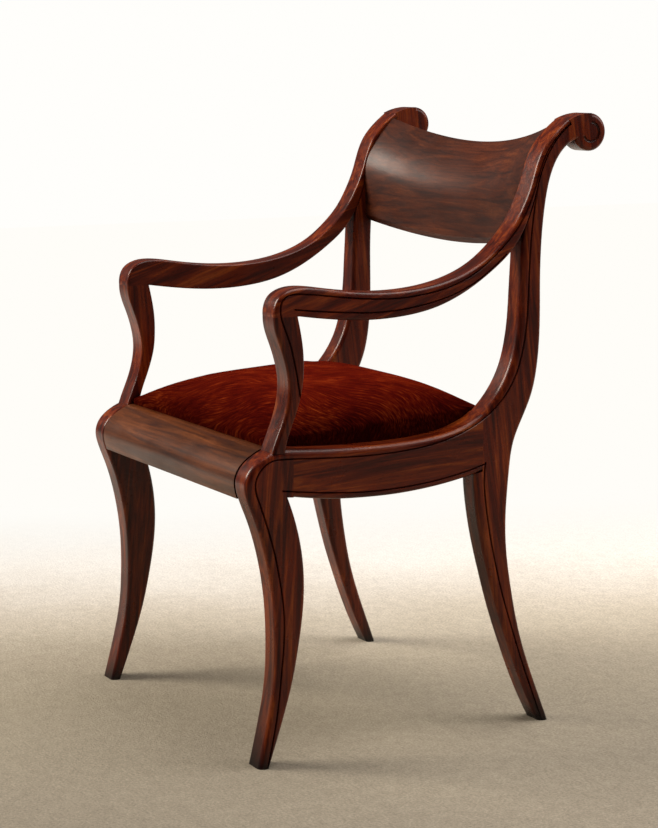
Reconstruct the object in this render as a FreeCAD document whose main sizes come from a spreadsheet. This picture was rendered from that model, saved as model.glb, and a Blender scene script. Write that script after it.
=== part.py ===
import FreeCAD, Part
import os

# A scroll arm klismos chair, in millimetres.
# X runs across the chair, the sitter's left is +X, the front is -Y and Z is up.
# The origin is on the floor, under the middle of the chair.
# Each side of the chair is a frame cut from one thickness of board. Its outline is drawn in the
# (Y, Z) plane, its legs splay outwards a little towards the floor, and its outer face is worked
# with rounded beads and narrow quirks.

Vector = FreeCAD.Vector
Placement = FreeCAD.Placement
Rotation = FreeCAD.Rotation

doc = FreeCAD.newDocument("klismos_armchair")

# Driving dimensions
SIZES = {
    "frame_width": 503.4,
    "board_thick": 37.0,
    "splay": 11.0,
    "splay_top": 350.0,
    "bead_round": 8.0,
    "arm_round": 5.5,
    "rear_round": 6.0,
    "post_rear_round": 5.0,
    "under_round": 3.5,
    "leg_inner_round": 6.0,
    "inner_round": 3.0,
    "under_inner_round": 2.0,
    "quirk_half": 1.5,
    "quirk_depth": 2.2,
    "scroll_radius": 26.3,
    "scroll_round": 6.0,
    "rail_back": -236.0,
    "rail_foot": 361.0,
    "rear_rail_front": 104.0,
    "rear_rail_thick": 20.0,
    "rear_rail_low": 366.0,
    "rear_rail_high": 426.0,
    "tenon_long": 22.0,
    "tenon_thick": 10.0,
    "tenon_tall": 38.0,
    "side_tenon_front": 367.0,
    "side_tenon_rear": 384.0,
    "front_tenon_back": -254.0,
    "front_tenon_low": 374.0,
    "rear_tenon_low": 376.0,
    "crest_tenon_front": 169.0,
    "crest_tenon_low": 706.0,
    "block_leg": 56.0,
    "block_low": 360.0,
    "block_high": 396.0,
    "block_end": 8.0,
    "screw_radius": 2.2,
    "screw_head": 4.4,
    "screw_sink": 3.0,
    "screw_long": 36.0,
    "screw_reach": 38.0,
    "screw_start": 20.0,
    "bore_radius": 5.0,
    "dowel_radius": 4.0,
    "dowel_long": 34.0,
    "small_dowel": 2.5,
    "small_dowel_long": 18.0,
    "seat_half_width": 213.2,
    "seat_half_depth": 168.2,
    "seat_middle": -66.2,
    "seat_low": 396.4,
    "seat_side": 432.0,
    "seat_rear_rise": 20.0,
    "seat_crown": 44.5,
    "seat_edge_rise": 4.0,
    "seat_drawn_in": 2.0,
    "cover_thick": 2.5,
    "turn_under": 14.0,
    "dust_thick": 0.8,
    "frame_high": 417.0,
    "frame_wide": 45.0,
    "strap_wide": 50.0,
    "strap_thick": 1.5,
    "strap_end": 6.0,
    "strap_apart_x": 110.0,
    "strap_apart_y": 88.0,
    "tack_radius": 0.9,
    "tack_head": 3.5,
    "tack_head_thick": 0.9,
    "tack_inset": 16.0,
    "tack_long": 12.0,
    "hessian_thick": 0.8,
}

# Outlines of the side frame, as (y, z) points of smooth curves. The legs run on below the floor,
# where their feet are trimmed level.
LEG_FRONT = [(-272.8, -3), (-272, 0), (-258, 55), (-247, 110), (-243.5, 165), (-245, 222), (-254, 282), (-270, 337),
             (-281, 366), (-284, 384), (-280, 398), (-270, 410), (-256, 419.5), (-240, 426),
             (-227, 427.3), (-214, 426.5)]
LEG_REAR = [(-221, 363.6), (-211, 335), (-201, 290), (-198, 250), (-200, 212), (-207, 166), (-219, 111),
            (-236, 57), (-256.5, 0), (-257.6, -3)]
RAIL_TOP = [(-214, 426.5), (-170, 423.4), (-120, 421.4), (-66, 421), (-10, 423.5), (35, 430),
            (60, 438), (84, 451)]
RAIL_FOOT = [(-214, 363), (-183, 358), (-141, 353.4), (-99, 351.5), (-56, 351.5), (-17, 353.8),
             (26, 358.7), (84, 370.5)]
POST_FRONT = [(72, 367.5), (74.5, 330), (83, 276), (96, 222), (112, 165), (131, 110), (152, 56), (179, 0), (180.6, -3)]
POST_REAR = [(195.1, -3), (194, 0), (178, 42), (146, 136), (133, 199), (125, 262), (125, 310), (129.5, 360),
             (137, 408), (150, 438), (165.5, 472), (175, 515), (178.5, 567), (178, 631), (179.5, 690),
             (184, 735), (191, 770), (204, 800), (222, 819), (240, 826)]
STILE_FRONT = [(84, 451), (103, 470), (119, 492), (131, 518), (138.5, 548), (143, 583), (145, 620),
               (147, 660), (149, 703)]
ARM_TOP = [(-241, 603), (-240, 616), (-234, 628), (-221, 636.5), (-204, 640), (-185, 639.5),
           (-150, 634.5), (-104, 629), (-57, 627.5), (-10, 631), (36, 641), (79, 660), (110, 684),
           (131, 706), (150, 737), (160, 759), (170, 790), (181, 814), (197, 833), (221, 852.5)]
ARM_FOOT = [(-206, 603), (-155, 596), (-100, 592), (-45, 594), (8, 603.5), (56, 623), (102, 652),
            (130, 676), (149, 703), (167, 750), (180, 790), (200, 824), (225, 846)]
CROTCH = (149, 703)
SCROLL_TOP = [(221, 852.5), (238, 858.6), (258, 861.3)]
SCROLL_CENTRE = (258, 835)
SUPPORT_FRONT = [(-241, 603), (-239.5, 588), (-231, 563), (-222.5, 535), (-219.5, 512), (-221.5, 490),
                 (-228, 466), (-236, 446), (-245, 423)]
SUPPORT_REAR = [(-206, 603), (-201, 580), (-197.5, 555), (-197, 532), (-199, 508), (-204, 488),
                (-211, 468), (-218, 450), (-225, 423)]

# Centre lines of the quirks worked into the outer faces
LONG_QUIRK = [(-262, -8), (-251, 38), (-243, 77), (-237, 123), (-232, 168), (-231.5, 213),
              (-236, 250), (-243, 288), (-254, 328), (-264, 358), (-269.5, 374), (-270, 388),
              (-265.5, 399), (-257, 408), (-245, 414), (-230, 415), (-200, 413.5), (-150, 410.5),
              (-104, 409), (-45, 410.5), (10, 417), (52, 428.5), (83, 443), (104, 458), (123, 478),
              (138, 503), (147, 530), (153, 560), (156, 595), (157.5, 640), (160, 690), (165, 733),
              (171, 765)]
ARM_QUIRK = [(-200, 482), (-204, 500), (-208, 523), (-213, 547), (-220, 572), (-229, 595),
             (-232.5, 611), (-229.5, 624), (-219, 631), (-204, 632), (-178, 629.5), (-152, 626),
             (-100, 620.5), (-46, 619), (-10, 622.5), (24, 629), (57, 641), (89, 660), (112, 679),
             (135, 702.5), (155, 734.5), (165, 757.5), (175, 787), (186, 810), (200.5, 828.5),
             (224, 848.5)]
ARM_FOOT_QUIRK = [(-212, 612), (-178, 608), (-126, 603.5), (-86, 601.5), (-46, 603.5), (-5, 609.5),
                  (36, 620), (70, 635), (96, 652), (120, 671)]
RAIL_FOOT_QUIRK = [(-231, 373), (-203, 369), (-157, 363.5), (-95, 359.5), (-32, 361), (32, 368),
                   (90, 381)]
POST_QUIRK = [(89, 383), (87, 360), (89, 329), (95, 286), (104, 242), (115, 197), (131, 145),
              (149, 91), (168, 40), (186, -8)]

# Lower ends of the dowels in each arm support, and front ends of those between arm and stile
SUPPORT_DOWELS = [(-231.5, 407), (-221, 586)]
ARM_DOWELS = [(149.5, 725), (165.5, 771)]
ARM_DOWEL_SLOPE = (0, 0.93, -0.37)

# Section of the crest rail at its ends, and how far its middle sits back and down
CREST_FACE = [(167, 697), (165.5, 740), (169, 780), (181, 804), (197, 825), (216, 845)]
CREST_BACK = [(226, 838), (211, 815), (197, 795), (186, 773), (181.5, 740), (183, 688)]
CREST_ARRIS = (172, 688)
CREST_SAG_BACK = 22.0
CREST_SAG_FOOT = 21.0
CREST_SAG_HEAD = 30.0
CREST_STATIONS = [-1.0, -0.5, 0.0, 0.5, 1.0]

# Stations of the cushion's sections and of the points along each, from one edge to the other,
# and the powers that shape how it swells between its edges
CUSHION_STATIONS = [-1.0, -0.93, -0.72, -0.36, 0.0, 0.36, 0.72, 0.93, 1.0]
SWELL_POWER = 3.4
SWELL_ROOT = 0.65


def make_sheet():
    """Write the driving dimensions into a spreadsheet with an alias for each."""
    sheet = doc.addObject("Spreadsheet::Sheet", "sizes")
    for row, (alias, value) in enumerate(SIZES.items(), start=1):
        sheet.set("A%d" % row, alias)
        sheet.set("B%d" % row, str(value))
        sheet.setAlias("B%d" % row, alias)
    doc.recompute()
    return sheet


sheet = make_sheet()


def size(alias):
    """The value of one driving dimension."""
    return float(sheet.get(alias))


def bind(thing, values):
    """Bind properties of an object to expressions of the sheet."""
    for path, expression in values.items():
        thing.setExpression(path, expression)


HALF = size("frame_width") / 2
INNER = HALF - size("board_thick")
INNER_FORMULA = "(sizes.frame_width / 2 - sizes.board_thick)"
RAIL_SPAN_FORMULA = "(sizes.frame_width - 2 * sizes.board_thick)"
SEAT_HALF_FORMULA = "(sizes.seat_half_width - sizes.cover_thick)"
SEAT_FRONT_FORMULA = "(sizes.seat_middle - sizes.seat_half_depth + sizes.cover_thick)"
SEAT_DEEP_FORMULA = "(2 * (sizes.seat_half_depth - sizes.cover_thick))"
FRAME_LOW_FORMULA = "(sizes.seat_low + sizes.dust_thick)"
HESSIAN_LOW_FORMULA = "(sizes.frame_high + sizes.strap_thick + sizes.tack_head_thick)"
SIDES = {"left": 1, "right": -1}


def curve(points):
    """A smooth curve through (y, z) points, in a sketch's own plane."""
    spline = Part.BSplineCurve()
    spline.interpolate([Vector(y, z, 0) for y, z in points])
    return spline


def part_of(spline, start=None, end=None):
    """The stretch of a curve between two (y, z) points on it."""
    piece = spline.copy()
    first = spline.FirstParameter if start is None else spline.parameter(Vector(start[0], start[1], 0))
    last = spline.LastParameter if end is None else spline.parameter(Vector(end[0], end[1], 0))
    piece.segment(first, last)
    return piece


def line(start, end):
    """A straight stretch between two sketch points."""
    return Part.LineSegment(Vector(start[0], start[1], 0), Vector(end[0], end[1], 0))


def ends(shape):
    """First and last point of a curve or line, as (y, z)."""
    first = shape.value(shape.FirstParameter)
    last = shape.value(shape.LastParameter)
    return (first.x, first.y), (last.x, last.y)


def add_body(name):
    """A new body, labelled with the sub-part's name."""
    body = doc.addObject("PartDesign::Body", name)
    body.Label = name
    return body


def add_sketch(body, name, role, offset, shapes):
    """A sketch on one of the body's own origin planes, moved along its normal by a formula."""
    sketch = body.newObject("Sketcher::SketchObject", name)
    plane = [item for item in body.Origin.OriginFeatures if item.Role == role][0]
    sketch.AttachmentSupport = (plane, [""])
    sketch.MapMode = "FlatFace"
    bind(sketch, {"AttachmentOffset.Base.z": offset})
    for shape in shapes:
        sketch.addGeometry(shape)
    doc.recompute()
    return sketch


def add_pad(body, name, sketch, length, backwards=False):
    """Thicken a sketch by a formula."""
    pad = body.newObject("PartDesign::Pad", name)
    pad.Profile = sketch
    pad.Reversed = backwards
    bind(pad, {"Length": length})
    doc.recompute()
    return pad


def bind_box(box, corner, spans):
    """Bind a box's low corner and its spans along X, Y and Z to formulas."""
    for axis, formula in zip("xyz", corner):
        box.setExpression("Placement.Base." + axis, formula)
    for side, formula in zip(("Length", "Width", "Height"), spans):
        box.setExpression(side, formula)
    doc.recompute()


def add_tenon(body, name, corner, spans):
    """Join a rectangular tenon to a body."""
    tenon = body.newObject("PartDesign::AdditiveBox", name)
    bind_box(tenon, corner, spans)
    return tenon


def add_rail_tenons(body, low_y, low_z):
    """Join a tenon to each end of a rail that runs across the chair."""
    spans = ("sizes.tenon_long + 1", "sizes.tenon_thick", "sizes.tenon_tall")
    left_start = INNER_FORMULA + " - 1"
    right_start = "-" + INNER_FORMULA + " - sizes.tenon_long"
    for name, start in (("left_tenon", left_start), ("right_tenon", right_start)):
        add_tenon(body, name, (start, low_y, low_z), spans)


def edges_along(shape, outline, outer, side):
    """Names of the edges that follow an outline on the outer or the inner face of a side frame."""
    points = [Vector(0, y, z) for y, z in outline_points(outline)]
    guide = Part.Wire(Part.makePolygon(points))
    names = []
    for number, edge in enumerate(shape.Edges, start=1):
        span = edge.LastParameter - edge.FirstParameter
        spots = [edge.valueAt(edge.FirstParameter + span * share) for share in (0.03, 0.31, 0.5, 0.77, 0.97)]
        near = all(guide.distToShape(Part.Vertex(Vector(0, spot.y, spot.z)))[0] < 0.3 for spot in spots)
        level = sum(spot.x * side for spot in spots) / len(spots)
        faces_out = level > HALF - 1.0
        faces_in = level < INNER + 1.0
        if near and (faces_out if outer else faces_in) and edge.Length > 2.0:
            names.append("Edge%d" % number)
    return names


def outline_points(outline):
    """Many points along a curve, close enough to tell its edges from the others."""
    span = outline.LastParameter - outline.FirstParameter
    spots = [outline.value(outline.FirstParameter + span * step / 240.0) for step in range(241)]
    return [(spot.x, spot.y) for spot in spots]


def add_rounding(body, name, base, outline, outer, side, radius):
    """Round the edges of a side frame piece that follow an outline."""
    names = edges_along(base.Shape, outline, outer, side)
    if not names:
        raise RuntimeError("no edges for " + body.Label + " " + name)
    rounding = body.newObject("PartDesign::Fillet", name)
    rounding.Base = (base, names)
    bind(rounding, {"Radius": radius})
    doc.recompute()
    if "Invalid" in rounding.State or rounding.Shape.isNull():
        raise RuntimeError("rounding failed: " + body.Label + " " + name + " " + str(names))
    return rounding


def board_piece(name, side, outline, roundings):
    """One piece of a side frame: an outline padded to the board's thickness and rounded.

    Each rounding is (curve, outer, radius alias).
    """
    sign = SIDES[side]
    body = add_body(side + "_" + name)
    offset = INNER_FORMULA if sign > 0 else "-" + INNER_FORMULA
    sketch = add_sketch(body, "outline", "YZ_Plane", offset, outline)
    last = add_pad(body, "board", sketch, "sizes.board_thick", sign < 0)
    for number, (edge_curve, outer, radius) in enumerate(roundings, start=1):
        last = add_rounding(body, "rounding%d" % number, last, edge_curve, outer, sign, "sizes." + radius)
    body.Tip = last
    doc.recompute()
    return body


def make_quirk(name, side, points):
    """A cutter for one quirk: a narrow V swept along its line on the outer face."""
    sign = SIDES[side]
    path = doc.addObject("Sketcher::SketchObject", side + "_" + name + "_line")
    path.addGeometry(curve(points))
    path.Placement = Placement(Vector(sign * HALF, 0, 0), Rotation(Vector(1, 1, 1), 120))
    doc.recompute()
    edge = path.Shape.Edges[0]
    start = edge.valueAt(edge.FirstParameter)
    along = edge.tangentAt(edge.FirstParameter)
    outward = Vector(sign, 0, 0)
    across = outward.cross(along)
    half = size("quirk_half")
    depth = size("quirk_depth")
    reach = half * (1 + 1.0 / depth)
    corners = [(-reach, 1.0), (reach, 1.0), (0.0, -depth)]
    profile = doc.addObject("Sketcher::SketchObject", side + "_" + name + "_section")
    for step in range(3):
        profile.addGeometry(line(corners[step], corners[(step + 1) % 3]))
    profile.Placement = Placement(start, Rotation(across, outward, along, "ZYX"))
    doc.recompute()
    sweep = doc.addObject("Part::Sweep", side + "_" + name)
    sweep.Sections = [profile]
    sweep.Spine = (path, ["Edge1"])
    sweep.Solid = True
    sweep.Frenet = False
    doc.recompute()
    return sweep


def cut_away(name, base, tools):
    """Take tools off a piece, one after the other. The last cut carries the sub-part's name."""
    result = base
    for number, tool in enumerate(tools, start=1):
        cut = doc.addObject("Part::Cut", "%s_cut%d" % (name, number))
        cut.Base = result
        cut.Tool = tool
        doc.recompute()
        result = cut
    if result is not base:
        base.Label = name + "_blank"
    result.Label = name
    return result


def splay_leg(name, base, side):
    """Lean a leg outwards below the rail, further the nearer it comes to the floor."""
    top = size("splay_top")
    lean = SIDES[side] * size("splay") / top
    wide = 1000.0
    matrix = FreeCAD.Matrix()
    matrix.A13 = -lean
    matrix.A14 = lean * top
    above = Part.makeBox(2 * wide, 2 * wide, wide, Vector(-wide, -wide, top))
    below = Part.makeBox(2 * wide, 2 * wide, wide + top, Vector(-wide, -wide, -wide))
    lower = base.Shape.common(below).transformGeometry(matrix)
    under_floor = Part.makeBox(2 * wide, 2 * wide, wide, Vector(-wide, -wide, -wide))
    whole = base.Shape.common(above).fuse(lower).cut(under_floor)
    if len(whole.Solids) != 1 or not whole.isValid():
        raise RuntimeError("the splay broke " + name)
    base.Label = name + "_upright"
    feature = doc.addObject("Part::Feature", name + "_splayed")
    feature.Shape = whole.Solids[0]
    feature.Label = name
    return feature


def group(name, shapes):
    """Several like solids that share one node."""
    feature = doc.addObject("Part::Feature", name)
    feature.Shape = Part.makeCompound(shapes)
    feature.Label = name
    return feature


def rod(start, direction, radius, length):
    """A plain round rod."""
    return Part.makeCylinder(radius, length, Vector(*start), Vector(*direction))


# Curves of the side frame, shared by the pieces that meet along them
leg_front = curve(LEG_FRONT)
leg_rear = curve(LEG_REAR)
rail_top = curve(RAIL_TOP)
rail_foot = curve(RAIL_FOOT)
post_front = curve(POST_FRONT)
post_rear = curve(POST_REAR)
stile_front = curve(STILE_FRONT)
arm_top = curve(ARM_TOP)
arm_foot = curve(ARM_FOOT)
valley = part_of(arm_foot, start=CROTCH)
scroll_top = curve(SCROLL_TOP)
support_front = curve(SUPPORT_FRONT)
support_rear = curve(SUPPORT_REAR)


def make_front_leg(side):
    """Sabre front leg, with the rounded knee that carries the arm support."""
    outline = [
        leg_front,
        line(LEG_FRONT[-1], RAIL_FOOT[0]),
        line(RAIL_FOOT[0], LEG_REAR[0]),
        leg_rear,
        line(LEG_REAR[-1], LEG_FRONT[0]),
    ]
    roundings = [
        (leg_front, True, "bead_round"),
        (leg_front, False, "leg_inner_round"),
        (leg_rear, True, "rear_round"),
        (leg_rear, False, "leg_inner_round"),
    ]
    return board_piece("front_leg", side, outline, roundings)


def make_side_rail(side):
    """Side seat rail, with a beaded top edge and a tenon at each end."""
    outline = [
        rail_top,
        line(RAIL_TOP[-1], RAIL_FOOT[-1]),
        rail_foot,
        line(RAIL_FOOT[0], RAIL_TOP[0]),
    ]
    roundings = [
        (rail_top, True, "bead_round"),
        (rail_top, False, "inner_round"),
        (rail_foot, True, "rear_round"),
        (rail_foot, False, "inner_round"),
    ]
    rail = board_piece("side_rail", side, outline, roundings)
    middle = "%d * (%s + sizes.board_thick / 2) - sizes.tenon_thick / 2" % (SIDES[side], INNER_FORMULA)
    spans = ("sizes.tenon_thick", "sizes.tenon_long + 1", "sizes.tenon_tall")
    front_end = "%g - sizes.tenon_long" % RAIL_TOP[0][0]
    rear_end = "%g - 1" % RAIL_TOP[-1][0]
    add_tenon(rail, "front_tenon", (middle, front_end, "sizes.side_tenon_front"), spans)
    add_tenon(rail, "rear_tenon", (middle, rear_end, "sizes.side_tenon_rear"), spans)
    return rail


def make_back_post(side):
    """Back post: the sabre rear leg, the stile above it and the neck of the scroll in one piece."""
    centre = SCROLL_CENTRE
    outline = [
        post_front,
        line(POST_FRONT[-1], POST_REAR[0]),
        post_rear,
        line(POST_REAR[-1], centre),
        line(centre, SCROLL_TOP[-1]),
        scroll_top,
        line(SCROLL_TOP[0], ARM_FOOT[-1]),
        valley,
        stile_front,
        line(STILE_FRONT[0], RAIL_FOOT[-1]),
        line(RAIL_FOOT[-1], POST_FRONT[0]),
    ]
    roundings = [
        (stile_front, True, "bead_round"),
        (stile_front, False, "leg_inner_round"),
        (post_front, True, "bead_round"),
        (post_front, False, "leg_inner_round"),
        (post_rear, True, "post_rear_round"),
        (post_rear, False, "leg_inner_round"),
    ]
    return board_piece("back_post", side, outline, roundings)


def make_arm(side):
    """Arm, from the scrolled elbow to the feathered end that runs into the scroll at the top."""
    outline = [
        arm_top,
        line(ARM_TOP[-1], ARM_FOOT[-1]),
        arm_foot,
        line(ARM_FOOT[0], ARM_TOP[0]),
    ]
    roundings = [
        (arm_top, True, "arm_round"),
        (arm_foot, True, "under_round"),
        (arm_top, False, "inner_round"),
        (arm_foot, False, "under_inner_round"),
    ]
    return board_piece("arm", side, outline, roundings)


def make_arm_support(side):
    """S shaped arm support, scribed over the bead of the knee that it stands on."""
    outline = [
        support_front,
        line(SUPPORT_FRONT[-1], SUPPORT_REAR[-1]),
        support_rear,
        line(SUPPORT_REAR[0], SUPPORT_FRONT[0]),
    ]
    roundings = [
        (support_front, True, "arm_round"),
        (support_front, False, "inner_round"),
        (support_rear, True, "under_round"),
        (support_rear, False, "inner_round"),
    ]
    return board_piece("arm_support", side, outline, roundings)


def make_scroll_roll(side):
    """The roll that the scroll ends in, with softened rims and a sunk ring round its eye."""
    sign = SIDES[side]
    centre_y, centre_z = SCROLL_CENTRE
    start = Vector(INNER if sign > 0 else -HALF, centre_y, centre_z)
    roll = doc.addObject("Part::Cylinder", side + "_roll_blank")
    roll.Placement = Placement(start, Rotation(Vector(0, 1, 0), 90))
    bind(roll, {"Radius": "sizes.scroll_radius", "Height": "sizes.board_thick"})
    doc.recompute()
    rounded = doc.addObject("Part::Fillet", side + "_roll_rounded")
    rounded.Base = roll
    rims = [number for number, edge in enumerate(roll.Shape.Edges, start=1) if edge.Closed]
    radius = size("scroll_round")
    rounded.Edges = [(number, radius, radius) for number in rims]
    ring = doc.addObject("Part::Torus", side + "_roll_ring")
    ring.Placement = Placement(Vector(sign * HALF, centre_y, centre_z), Rotation(Vector(0, 1, 0), 90))
    bind(ring, {"Radius1": "sizes.scroll_radius * 0.5", "Radius2": "sizes.quirk_depth"})
    doc.recompute()
    sunk = doc.addObject("Part::Cut", side + "_roll")
    sunk.Base = rounded
    sunk.Tool = ring
    doc.recompute()
    return sunk


def make_front_rail():
    """Front seat rail, with the same bull nosed front as the knees on each side of it."""
    body = add_body("front_rail")
    back = size("rail_back")
    foot = size("rail_foot")
    lowest = leg_front.value(leg_front.parameter(Vector(-280, foot, 0)))
    highest = leg_front.value(leg_front.parameter(Vector(back, 427, 0)))
    nose = part_of(leg_front, start=(lowest.x, lowest.y), end=(highest.x, highest.y))
    first, last = ends(nose)
    outline = [
        nose,
        line(last, (back, last[1] - 2)),
        line((back, last[1] - 2), (back, foot)),
        line((back, foot), first),
    ]
    sketch = add_sketch(body, "outline", "YZ_Plane", "-" + INNER_FORMULA, outline)
    add_pad(body, "board", sketch, RAIL_SPAN_FORMULA)
    add_rail_tenons(body, "sizes.front_tenon_back - sizes.tenon_thick", "sizes.front_tenon_low")
    return body


def make_rear_rail():
    """Rear seat rail between the back posts."""
    body = add_body("rear_rail")
    front = size("rear_rail_front")
    back = front + size("rear_rail_thick")
    low = size("rear_rail_low")
    high = size("rear_rail_high")
    outline = [
        line((front, low), (back, low)),
        line((back, low), (back, high - 6)),
        line((back, high - 6), (back - 6, high)),
        line((back - 6, high), (front, high)),
        line((front, high), (front, low)),
    ]
    sketch = add_sketch(body, "outline", "YZ_Plane", "-" + INNER_FORMULA, outline)
    add_pad(body, "board", sketch, RAIL_SPAN_FORMULA)
    add_rail_tenons(body, "sizes.rear_rail_front + sizes.rear_rail_thick / 4", "sizes.rear_tenon_low")
    return body


def crest_outline(station):
    """Section of the crest rail at a station from -1, at its right end, to 1, at its left end."""
    sag = 1 - station * station
    low = CREST_FACE[0][1]
    high = CREST_FACE[-1][1]

    def moved(point):
        share = (point[1] - low) / (high - low)
        down = CREST_SAG_FOOT + share * (CREST_SAG_HEAD - CREST_SAG_FOOT)
        return (point[0] + CREST_SAG_BACK * sag, point[1] - down * sag)

    face = [moved(point) for point in CREST_FACE]
    back = [moved(point) for point in CREST_BACK]
    arris = moved(CREST_ARRIS)
    return [
        curve(face),
        line(face[-1], back[0]),
        curve(back),
        line(back[-1], arris),
        line(arris, face[0]),
    ]


def make_crest_rail():
    """Curved crest rail, lofted through its sections, with a tenon at each end."""
    body = add_body("crest_rail")
    sketches = []
    for number, station in enumerate(CREST_STATIONS, start=1):
        offset = "%s * %s" % (station, INNER_FORMULA)
        sketches.append(add_sketch(body, "section%d" % number, "YZ_Plane", offset, crest_outline(station)))
    loft = body.newObject("PartDesign::AdditiveLoft", "board")
    loft.Profile = sketches[0]
    loft.Sections = sketches[1:]
    loft.Ruled = False
    doc.recompute()
    add_rail_tenons(body, "sizes.crest_tenon_front", "sizes.crest_tenon_low")
    return body


def make_corner_block(name, side, front):
    """Three cornered glue block in a corner of the seat frame."""
    sign = SIDES[side]
    corner_y = size("rail_back") if front else size("rear_rail_front")
    inward = 1 if front else -1
    leg = size("block_leg")
    end = size("block_end")
    corners = [
        (sign * INNER, corner_y),
        (sign * (INNER - leg), corner_y),
        (sign * (INNER - leg), corner_y + inward * end),
        (sign * (INNER - end), corner_y + inward * leg),
        (sign * INNER, corner_y + inward * leg),
    ]
    shapes = [line(corners[step], corners[(step + 1) % 5]) for step in range(5)]
    body = add_body(name)
    sketch = add_sketch(body, "outline", "XY_Plane", "sizes.block_low", shapes)
    add_pad(body, "board", sketch, "sizes.block_high - sizes.block_low")
    return body


def screw_places():
    """Head and direction of the two screws in each corner block, one into each rail beside it."""
    middle = (size("block_low") + size("block_high")) / 2
    reach = size("screw_reach")
    start = size("screw_start")
    places = []
    for sign in SIDES.values():
        for corner_y, inward in ((size("rail_back"), 1), (size("rear_rail_front"), -1)):
            places.append(((sign * (INNER - start), corner_y + inward * reach, middle), (sign, 0, 0)))
            places.append(((sign * (INNER - reach), corner_y + inward * start, middle), (0, -inward, 0)))
    return places


def wood_screw(head, direction):
    """Countersunk wood screw, from its head's place towards its tip."""
    shank = rod(head, direction, size("screw_radius"), size("screw_long"))
    cone = Part.makeCone(
        size("screw_head"), size("screw_radius"), size("screw_sink"), Vector(*head), Vector(*direction))
    return shank.fuse(cone).removeSplitter()


def make_block_screws():
    """The screws of the corner blocks."""
    return group("corner_block_screws", [wood_screw(head, direction) for head, direction in screw_places()])


def make_screw_bores():
    """Holes in the corner blocks through which the screws are driven."""
    bores = []
    for head, direction in screw_places():
        outward = [-part for part in direction]
        bores.append(rod(head, outward, size("bore_radius"), size("screw_start")))
    return group("screw_bores", bores)


def make_support_dowels():
    """Dowels at the foot and the head of each arm support."""
    radius = size("dowel_radius")
    dowels = []
    for sign in SIDES.values():
        across = sign * (INNER + size("board_thick") / 2)
        for low_y, low_z in SUPPORT_DOWELS:
            dowels.append(rod((across, low_y, low_z), (0, 0, 1), radius, size("dowel_long")))
    return group("arm_support_dowels", dowels)


def make_arm_dowels():
    """Two slim dowels through each joint between arm and stile."""
    radius = size("small_dowel")
    dowels = []
    for sign in SIDES.values():
        across = sign * (INNER + size("board_thick") / 2)
        for front_y, front_z in ARM_DOWELS:
            start = (across, front_y, front_z)
            dowels.append(rod(start, ARM_DOWEL_SLOPE, radius, size("small_dowel_long")))
    return group("arm_dowels", dowels)


def cushion_outline(station, inset, low):
    """Section of the cushion across a station, from -1 at its right edge to 1 at its left edge.

    The inset is the thickness of what lies over this form.
    """
    middle = size("seat_middle")
    half_depth = size("seat_half_depth") - inset
    least = size("seat_edge_rise")
    most = size("seat_crown") - inset - least
    drawn_in = size("seat_drawn_in")

    def swell(share):
        return (1 - abs(share) ** SWELL_POWER) ** SWELL_ROOT

    top = []
    for share in CUSHION_STATIONS:
        lean = size("seat_rear_rise") * (1 + share) / 2
        height = size("seat_side") + least + lean + most * swell(share) * swell(station)
        top.append((middle + share * (half_depth - drawn_in), height))
    front = middle - half_depth
    back = middle + half_depth
    return [
        line((front, low), (back, low)),
        line((back, low), top[-1]),
        curve(top[::-1]),
        line(top[0], (front, low)),
    ]


def make_cushion_form(name, inset, low):
    """Domed form of the slip seat, lofted through its sections. The inset is an alias or None."""
    body = add_body(name)
    sketches = []
    taken = size(inset) if inset else 0.0
    half_formula = "(sizes.seat_half_width - sizes.%s)" % inset if inset else "sizes.seat_half_width"
    for number, station in enumerate(CUSHION_STATIONS, start=1):
        offset = "%s * %s" % (station, half_formula)
        outline = cushion_outline(station, taken, low)
        sketches.append(add_sketch(body, "section%d" % number, "YZ_Plane", offset, outline))
    loft = body.newObject("PartDesign::AdditiveLoft", "form")
    loft.Profile = sketches[0]
    loft.Sections = sketches[1:]
    loft.Ruled = False
    doc.recompute()
    return body


def make_box(name, corner, spans):
    """A rectangular piece, from the formulas of its low corner and its spans."""
    box = doc.addObject("Part::Box", name)
    box.Label = name
    bind_box(box, corner, spans)
    return box


def make_inset_box(name, inset, low, tall):
    """A flat rectangular piece of the slip seat, a distance inside the cover all round."""
    corner = ("-%s + %s" % (SEAT_HALF_FORMULA, inset), "%s + %s" % (SEAT_FRONT_FORMULA, inset), low)
    spans = ("2 * (%s - %s)" % (SEAT_HALF_FORMULA, inset), "%s - 2 * %s" % (SEAT_DEEP_FORMULA, inset), tall)
    return make_box(name, corner, spans)


def seat_plan():
    """Half width, front and back of the slip seat's wooden frame."""
    inset = size("cover_thick")
    half_width = size("seat_half_width") - inset
    front = size("seat_middle") - size("seat_half_depth") + inset
    back = size("seat_middle") + size("seat_half_depth") - inset
    return half_width, front, back


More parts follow.
